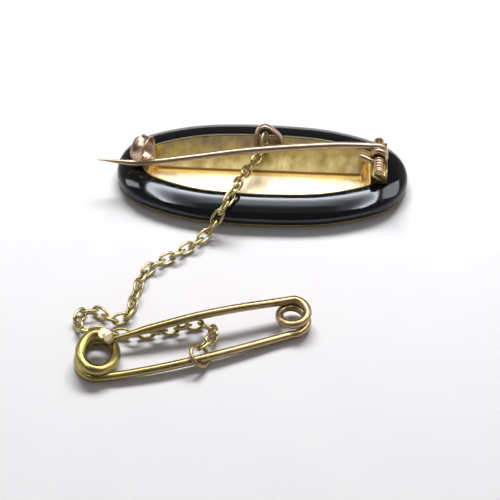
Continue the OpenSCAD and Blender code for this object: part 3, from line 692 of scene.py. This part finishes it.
def smooth_path(places, steps):
    """Curve through all places, whose ends point the way that their first and last pairs do."""
    p = np.asarray(places, float)
    p = np.concatenate([[2 * p[0] - p[1]], p, [2 * p[-1] - p[-2]]])
    return np.concatenate([curve_between(p, steps), p[-2:-1]])


def wire(path, radius, sides, aside, flat=(1.0, 1.0)):
    """Round wire along a path. Each ring lies across the path. aside is a direction that the path never
    takes, and flat scales the section along aside and across it."""
    t = np.gradient(path, axis=0)
    t /= np.linalg.norm(t, axis=1, keepdims=True)
    across = np.cross(np.broadcast_to(aside, t.shape), t)
    across /= np.linalg.norm(across, axis=1, keepdims=True)
    up = np.cross(t, across)
    a = np.linspace(0, 2 * math.pi, sides, endpoint=False)[None, :, None]
    r = np.broadcast_to(radius, len(path))[:, None, None]
    return path[:, None] + r * (flat[1] * np.cos(a) * across[:, None] + flat[0] * np.sin(a) * up[:, None])


hood = smooth_path(HOOD, 8)
hood = LOOP_AT + hood[:, :1] * [1, 0, 0] + hood[:, 1:] * LOOP_UP
loop = joined("chain_loop", [wire(hood, LOOP_WIRE_R, 20, LOOP_BACK, LOOP_FLAT)], rose_gold)
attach(loop, "body")
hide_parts("gold_back")

# Brooch pin
# One hard-drawn rose gold wire: tail, one and a half turns round the axle, and a long
# stem that is drawn down to a point and kinks up beyond the catch. It has the catch's finish.
STEM_SKEW, STEM_SWELL, SWELL_END = 0.0822, 0.07, 42
POINT_L, POINT_SHARE, POINT_CURVE = 6, 0.06, 0.85
CUT_ROUND = [0.6, 0.85, 0.97]
# STEM pairs the way from the axle with a height. TAIL has the way, the shift in Y and the rise.
# The stem is thicker by STEM_SWELL between the lengths POINT_L and SWELL_END from its tip.
STEM = np.array([[0, HINGE_Z + TURN_R], [3, 6.95], [6, 7.06], [9, 7], [12, 6.86], [15.5, 6.66],
                 [19.5, 6.33], [23, 5.93], [27, 5.32], [30.5, 4.8], [33.6, 4.36], [36.4, 4.1],
                 [37.9, 4.14], [39.7, 4.46], [41.5, 4.77], [43.2, 5.05]])
TAIL = np.array([[2.95, 0.62, 0.66], [2.3, 0.45, 0.48], [1.5, 0.22, 0.24], [0.8, 0.05, 0.07]])


def length_left(path):
    """Length of a path from each of its points to its last one."""
    return np.concatenate([np.cumsum(np.linalg.norm(np.diff(path[::-1], axis=0), axis=1))[::-1], [0]])


tail = np.stack([HINGE_X - TAIL[:, 0], STEM_Y - 1.5 * TURN_PITCH + TAIL[:, 1],
                 HINGE_Z - TURN_R + TAIL[:, 2]], -1)
turn_at = np.arange(36)
turn_a = np.radians(-90 + 15 * turn_at)
turns = np.stack([HINGE_X + TURN_R * np.cos(turn_a), STEM_Y - TURN_PITCH * (1.5 - turn_at / 24),
                  HINGE_Z + TURN_R * np.sin(turn_a)], -1)
stem = np.stack([HINGE_X - STEM[:, 0], STEM_Y - STEM_SKEW * STEM[:, 0], STEM[:, 1]], -1)
pin_path = smooth_path(np.concatenate([tail, turns, stem]), 6)
pin_left = length_left(pin_path)
pin_r = PIN_D / 2 * np.minimum(1, POINT_SHARE + (1 - POINT_SHARE) * (pin_left / POINT_L) ** POINT_CURVE)
pin_r[:len(CUT_ROUND)] *= CUT_ROUND
pin_swell = np.clip(pin_left / POINT_L, 0, 1) * np.clip((SWELL_END - pin_left) / POINT_L, 0, 1)
pin_r *= 1 + STEM_SWELL * pin_swell
pin = joined("brooch_pin_wire", [wire(pin_path, pin_r, 28, (0, 1, 0.02))], rose_gold)
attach(pin, "pin")
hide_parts("brooch_pin")

# Guard pin
# One yellow gold wire: hook of over one and a half turns, lower arm, spring coil, and
# an upper arm that is drawn down to a point under the hook's cut end.
GUARD_R, GUARD_POINT_L = 0.61, 7
HOOK_C, HOOK_START, HOOK_SWEEP = np.array([-21.35, -37.35]), 35, 595
HOOK_RX, HOOK_RY, HOOK_RISE, HOOK_LEVEL, HOOK_SWELL = (2.2, 2.8), (2.8, 3.5), 2.25, 0.72, 0.36
COIL_C, COIL_R, COIL_SAG = np.array([5.9, -28.7]), (2.2, 1.95), 0.6
LOWER_BOW, LOWER_ARCH = 1.25, 0.4
UPPER_TIP, UPPER_BOW, UPPER_LIFT, UPPER_FALL = np.array([-21.6, -35.4, 1.75]), 0.3, 0.35, 0.4
HOOK_STEPS, LOWER_STEPS, COIL_STEPS, UPPER_STEPS = 180, 60, 144, 80


def mix(a, b, u):
    """Straight blend from a to b."""
    return a + (b - a) * u


def hook(u):
    """Elliptic turns that widen a little and fall from the cut end, at u = 0, to the lower arm."""
    a = np.radians(HOOK_START + HOOK_SWEEP * u)
    fall = np.minimum(1, u / HOOK_LEVEL) ** 1.2
    return np.stack([HOOK_C[0] + mix(*HOOK_RX, ease(u)) * np.cos(a),
                     HOOK_C[1] + mix(*HOOK_RY, ease(u)) * np.sin(a), GUARD_R + HOOK_RISE * (1 - fall)], -1)


def coil(u):
    """One and a half turns that rise a wire's thickness each, from the lower arm to the upper one. They
    start COIL_SAG nearer the viewer, which fades by half way."""
    a, r = np.radians(-90 + 540 * u), mix(*COIL_R, np.sin(math.pi * u))
    sag = COIL_SAG * (1 - ease(np.minimum(1, 2 * u)))
    return np.stack([COIL_C[0] + r * np.cos(a), COIL_C[1] + r * np.sin(a) - sag,
                     GUARD_R + 1.5 * (2 * GUARD_R + GAP) * u], -1)


def lower_arm(u):
    """From hook to coil, bowed towards the viewer and raised off the card in the middle."""
    u = np.atleast_1d(u)
    line = mix(hook(np.ones(1)), coil(np.zeros(1)), u[:, None])
    return line + np.stack([0 * u, COIL_SAG * (u - u ** 1.5) - LOWER_BOW * np.sin(math.pi * u ** 0.8),
                            LOWER_ARCH * np.sin(math.pi * u ** 0.93)], -1)


def upper_arm(u):
    """From coil to point: rises a little off the coil, then falls to the tip."""
    x, y, z = coil(np.ones(1))[0]
    fall = ease(np.clip((u - UPPER_FALL) / (1 - UPPER_FALL), 0, 1))
    return np.stack([mix(x, UPPER_TIP[0], u), mix(y, UPPER_TIP[1], u) + UPPER_BOW * np.sin(math.pi * u),
                     mix(z + UPPER_LIFT * ease(np.minimum(1, 3 * u)), UPPER_TIP[2], fall)], -1)


hook_u = np.arange(HOOK_STEPS) / HOOK_STEPS
guard_path = np.concatenate([
    hook(hook_u), lower_arm(np.arange(LOWER_STEPS) / LOWER_STEPS), coil(np.arange(COIL_STEPS) / COIL_STEPS),
    upper_arm(np.arange(UPPER_STEPS + 1) / UPPER_STEPS)])
guard_r = GUARD_R * np.minimum(1, POINT_SHARE + (1 - POINT_SHARE) * length_left(guard_path) / GUARD_POINT_L)
guard_r[:HOOK_STEPS] *= 1 + HOOK_SWELL * ease(np.clip(1.6 - 2 * hook_u, 0, 1))
guard_rings = wire(guard_path, guard_r, 26, (0, 0, 1))
# The hook's end is cut at a slant and filed to a facet: rings CUT_FROM to FILED_TO are planed off
# FILED_LEVEL above the wire's middle, the first leans by CUT_SLANT, and ring CUT_TO follows it.
CUT_FROM, CUT_TO, FILED_TO = 4, 8, 16
CUT_SLANT, FILED_LEVEL, FILED_SLOPE = 0.5, 0.36, 0.2
filed = guard_rings[CUT_FROM:FILED_TO]
filed_path = guard_path[CUT_FROM:FILED_TO, None]
filed_top = filed_path[..., 2] + FILED_LEVEL + FILED_SLOPE * (filed[..., 1] - filed_path[..., 1])
filed[..., 2] = np.minimum(filed[..., 2], filed_top)
cut_way = guard_path[CUT_FROM + 1] - guard_path[CUT_FROM]
cut_way /= np.linalg.norm(cut_way)
cut_ring = filed[0] + CUT_SLANT * (filed[0][:, 2:] - guard_path[CUT_FROM, 2]) * cut_way
# Soft yellow gold wire, dulled by wear in clouds of 3 mm: greenish yellow at the hook, browner
# along the arms, and nearly white round the cut and filed end, a painted highlight.
CUT_MIDDLE, CUT_R, CUT_FADE = guard_path[9], 0.85, 1.05
yellow_tree, yellow_shader, yellow_place, yellow_gold = finish_named("yellow gold wire")
yellow_cloud, yellow_hook = clouded(yellow_tree, yellow_place, 3.333, 2, "#93834c", "#bbaa6e")
yellow_arm = clouded(yellow_tree, yellow_place, 3.333, 2, "#9c875f", "#bfa983")[1]
yellow_x = add(yellow_tree, "SeparateXYZ", {0: yellow_place}).outputs["X"]
yellow_along = add(yellow_tree, "MapRange", {"Value": yellow_x, "From Min": -18 * MM,
                   "From Max": -6 * MM}, interpolation_type="SMOOTHSTEP")
yellow_worn = add(yellow_tree, "Mix", {"Factor": yellow_along.outputs[0], MIX_A: yellow_hook,
                  MIX_B: yellow_arm}, data_type="RGBA")
# Painted highlight: nearly white within CUT_R of the cut end's middle, fading out by CUT_FADE.
yellow_from_cut = add(yellow_tree, "VectorMath", {0: yellow_place, 1: CUT_MIDDLE * MM},
                      operation="DISTANCE")
yellow_cut_painted_highlight = add(yellow_tree, "MapRange", {"Value": yellow_from_cut.outputs["Value"],
                   "From Min": CUT_R * MM, "From Max": CUT_FADE * MM, "To Min": 1.0, "To Max": 0.0})
yellow_tone = add(yellow_tree, "Mix", {"Factor": yellow_cut_painted_highlight.outputs[0],
                  MIX_A: yellow_worn.outputs[MIX_OUT], MIX_B: linear("#f3e3ba")},
                  data_type="RGBA")
yellow_rough = add(yellow_tree, "MapRange", {"Value": yellow_cloud, "From Min": 0.35,
                   "From Max": 0.65, "To Min": 0.26, "To Max": 0.33})
set_sockets(yellow_tree, yellow_shader, {"Base Color": yellow_tone.outputs[MIX_OUT],
            "Roughness": yellow_rough.outputs[0], "Metallic": 1})
guard = joined("guard_pin_wire", [np.concatenate([cut_ring[None], guard_rings[CUT_TO:]])], yellow_gold,
               sharp_deg=26)
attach(guard, "body")
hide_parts("guard_pin")

# Jump ring
# Round yellow gold wire ring, slung round the guard pin's lower arm, its ends butted
# together. It has the guard pin's finish.
RING_R, RING_WIRE_R, RING_TILT, RING_HEADING = 1.6, 0.3, math.radians(41.5), math.radians(-8)
RING_START, RING_SWEEP = 205, 358.5
RING_AT = lower_arm(0.53)[0] + [0, 0.2, 0.45]
RING_X = np.array([math.cos(RING_TILT) * math.cos(RING_HEADING),
                   math.cos(RING_TILT) * math.sin(RING_HEADING), -math.sin(RING_TILT)])
RING_Y = np.array([-math.sin(RING_HEADING), math.cos(RING_HEADING), 0])


def on_ring(degrees):
    """Place on the ring's middle line at an angle from its own X towards its own Y."""
    a = np.radians(degrees)[..., None]
    return RING_AT + RING_R * (np.cos(a) * RING_X + np.sin(a) * RING_Y)


ring_path = on_ring(np.linspace(RING_START, RING_START + RING_SWEEP, 97))
ring = joined("jump_ring_wire", [wire(ring_path, RING_WIRE_R, 20, np.cross(RING_X, RING_Y))], yellow_gold)
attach(ring, "body")
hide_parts("jump_ring")

# Safety chain
# 44 oval links of yellow gold wire, each turned a quarter to the next, from the jump ring to
# the loop. They meet on ROUTE, a curve along the card, over the rim and under the pin.
LINK_L, LINK_W, LINK_D, LINK_PITCH = 2.9, 1.82, 0.43, 1.762
LINK_CORNER, LYING = 0.8, 0.76
RING_EYE_A, LOOP_EYE_A = 98, math.radians(124)
RING_EYE = on_ring(np.array(RING_EYE_A)) + [-0.13, -0.36, 0]
LOOP_EYE = LOOP_AT + LOOP_R * (math.cos(LOOP_EYE_A) * np.array([1, 0, 0]) + math.sin(LOOP_EYE_A) * LOOP_UP)
LAST_EYE, LAST_RUN = LOOP_EYE + [0.15, -0.65, -0.75], np.array([-0.4, 0.68, 0.6])
ON_CARD = [[-5.5, -31.2], [-6.6, -30.4], [-8, -30.4], [-9.6, -30.9], [-11.5, -31.6], [-14.2, -32.3],
           [-17.2, -32.8], [-19.4, -32.8], [-21.3, -32.6], [-23.1, -32.7], [-24.6, -32.1], [-25.2, -30.6],
           [-24.6, -29.1], [-23.1, -28.5], [-21.4, -29.4], [-20.9, -30], [-19.7, -30.4], [-18.2, -29.8],
           [-17.6, -28.3], [-17.4, -26.6], [-17.1, -24.5], [-16.7, -22.3], [-16, -20.3], [-14.5, -18.9],
           [-12.8, -17.7], [-11, -16.2], [-9.1, -14.4]]
OVER_RIM = [[-7.7, -12.8, 1], [-6.9, -11.7, 1.6], [-6.2, -11, 2.7], [-5.6, -10.4, 3.7], [-4.8, -9.1, 4.4],
            [-4, -7.3, 4.6], [-3.4, -5.3, 4.4], [-2.6, -2.6, 3.8], [-1.7, -0.4, 3.4], [-0.9, 1.5, 3.3],
            [-0.1, 3, 3.5], [0.4, 4.3, 4.1]]
ROUTE = np.array([RING_EYE, [-5.5, -33.6, 1.45], [-5.1, -32.4, 1.05], *([*place, LYING] for place in ON_CARD),
                  *OVER_RIM, LAST_EYE - 1.1 * LAST_RUN, LAST_EYE + 1.4 * LAST_RUN])


def link_joints(fine=250):
    """Places where links meet, from the route's start: each is the first point one pitch past the last."""
    curve = curve_between(np.concatenate([ROUTE[:1], ROUTE, ROUTE[-1:]]), fine)
    found, at = [curve[0]], 0
    while True:
        ahead = np.linalg.norm(curve[at:] - found[-1], axis=1) >= LINK_PITCH
        if not ahead.any():
            return np.array(found)
        at += int(ahead.argmax())
        found.append(curve[at])


def oval_link(steps=40, sides=12):
    """Wire round a superellipse, [cos^LINK_CORNER, sin^LINK_CORNER], in the link's own XY plane."""
    a = np.linspace(0, 2 * math.pi, steps, endpoint=False) + math.pi / steps
    round_a = np.stack([np.cos(a), np.sin(a), 0 * a], -1)
    half = np.array([LINK_L - LINK_D, LINK_W - LINK_D, 0]) / 2
    path = half * np.sign(round_a) * np.abs(round_a) ** LINK_CORNER
    run = np.roll(path, -1, 0) - np.roll(path, 1, 0)
    out = np.stack([run[:, 1], -run[:, 0], 0 * a], -1)
    out /= np.linalg.norm(out, axis=1, keepdims=True)
    v = np.linspace(0, 2 * math.pi, sides, endpoint=False)[None, :, None]
    return path[:, None] + LINK_D / 2 * (np.cos(v) * out[:, None] + np.sin(v) * np.array([0, 0, 1.0]))


# Fine yellow gold wire, soldered link by link: cream and olive brown, mixed at random in specks
# of 0.8 mm.
chain_tree, chain_shader, chain_place, chain_gold = finish_named("yellow gold chain wire")
chain_tone = clouded(chain_tree, chain_place, 0.8333, 4, "#8a7a45", "#e8d8a6")[1]
set_sockets(chain_tree, chain_shader, {"Base Color": chain_tone, "Metallic": 1, "Roughness": 0.22})
# Each link's length lies along its run. It is rolled 45 degrees one way or the other about it,
# and the last five lean up to 10 degrees further.
joints = link_joints()
link = oval_link()
links = len(joints) - 1
at = np.arange(links)
run = np.diff(joints, axis=0)
along = run / np.linalg.norm(run, axis=1, keepdims=True)
aside = np.cross([0, 0, 1.0], along)
aside /= np.linalg.norm(aside, axis=1, keepdims=True)
above = np.cross(along, aside)
roll = np.radians(np.where(at % 2 == 0, -45, 45) + np.maximum(0, 10 - 2 * (links - 1 - at)))[:, None]
axes = np.stack([along, aside * np.cos(roll) + above * np.sin(roll),
                 above * np.cos(roll) - aside * np.sin(roll)], 1)
chain_points = (joints[:-1] + run / 2)[:, None, None] + np.einsum("rsk,nkd->nrsd", link, axes)
one = np.array(ring_faces(*link.shape[:2], closed_rows=True))
chain_faces = (one[None] + (at * link.shape[0] * link.shape[1])[:, None, None]).reshape(-1, 4).tolist()
chain = mesh_object("safety_chain_links", chain_points.reshape(-1, 3), chain_faces, chain_gold)
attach(chain, "body")
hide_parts("safety_chain")
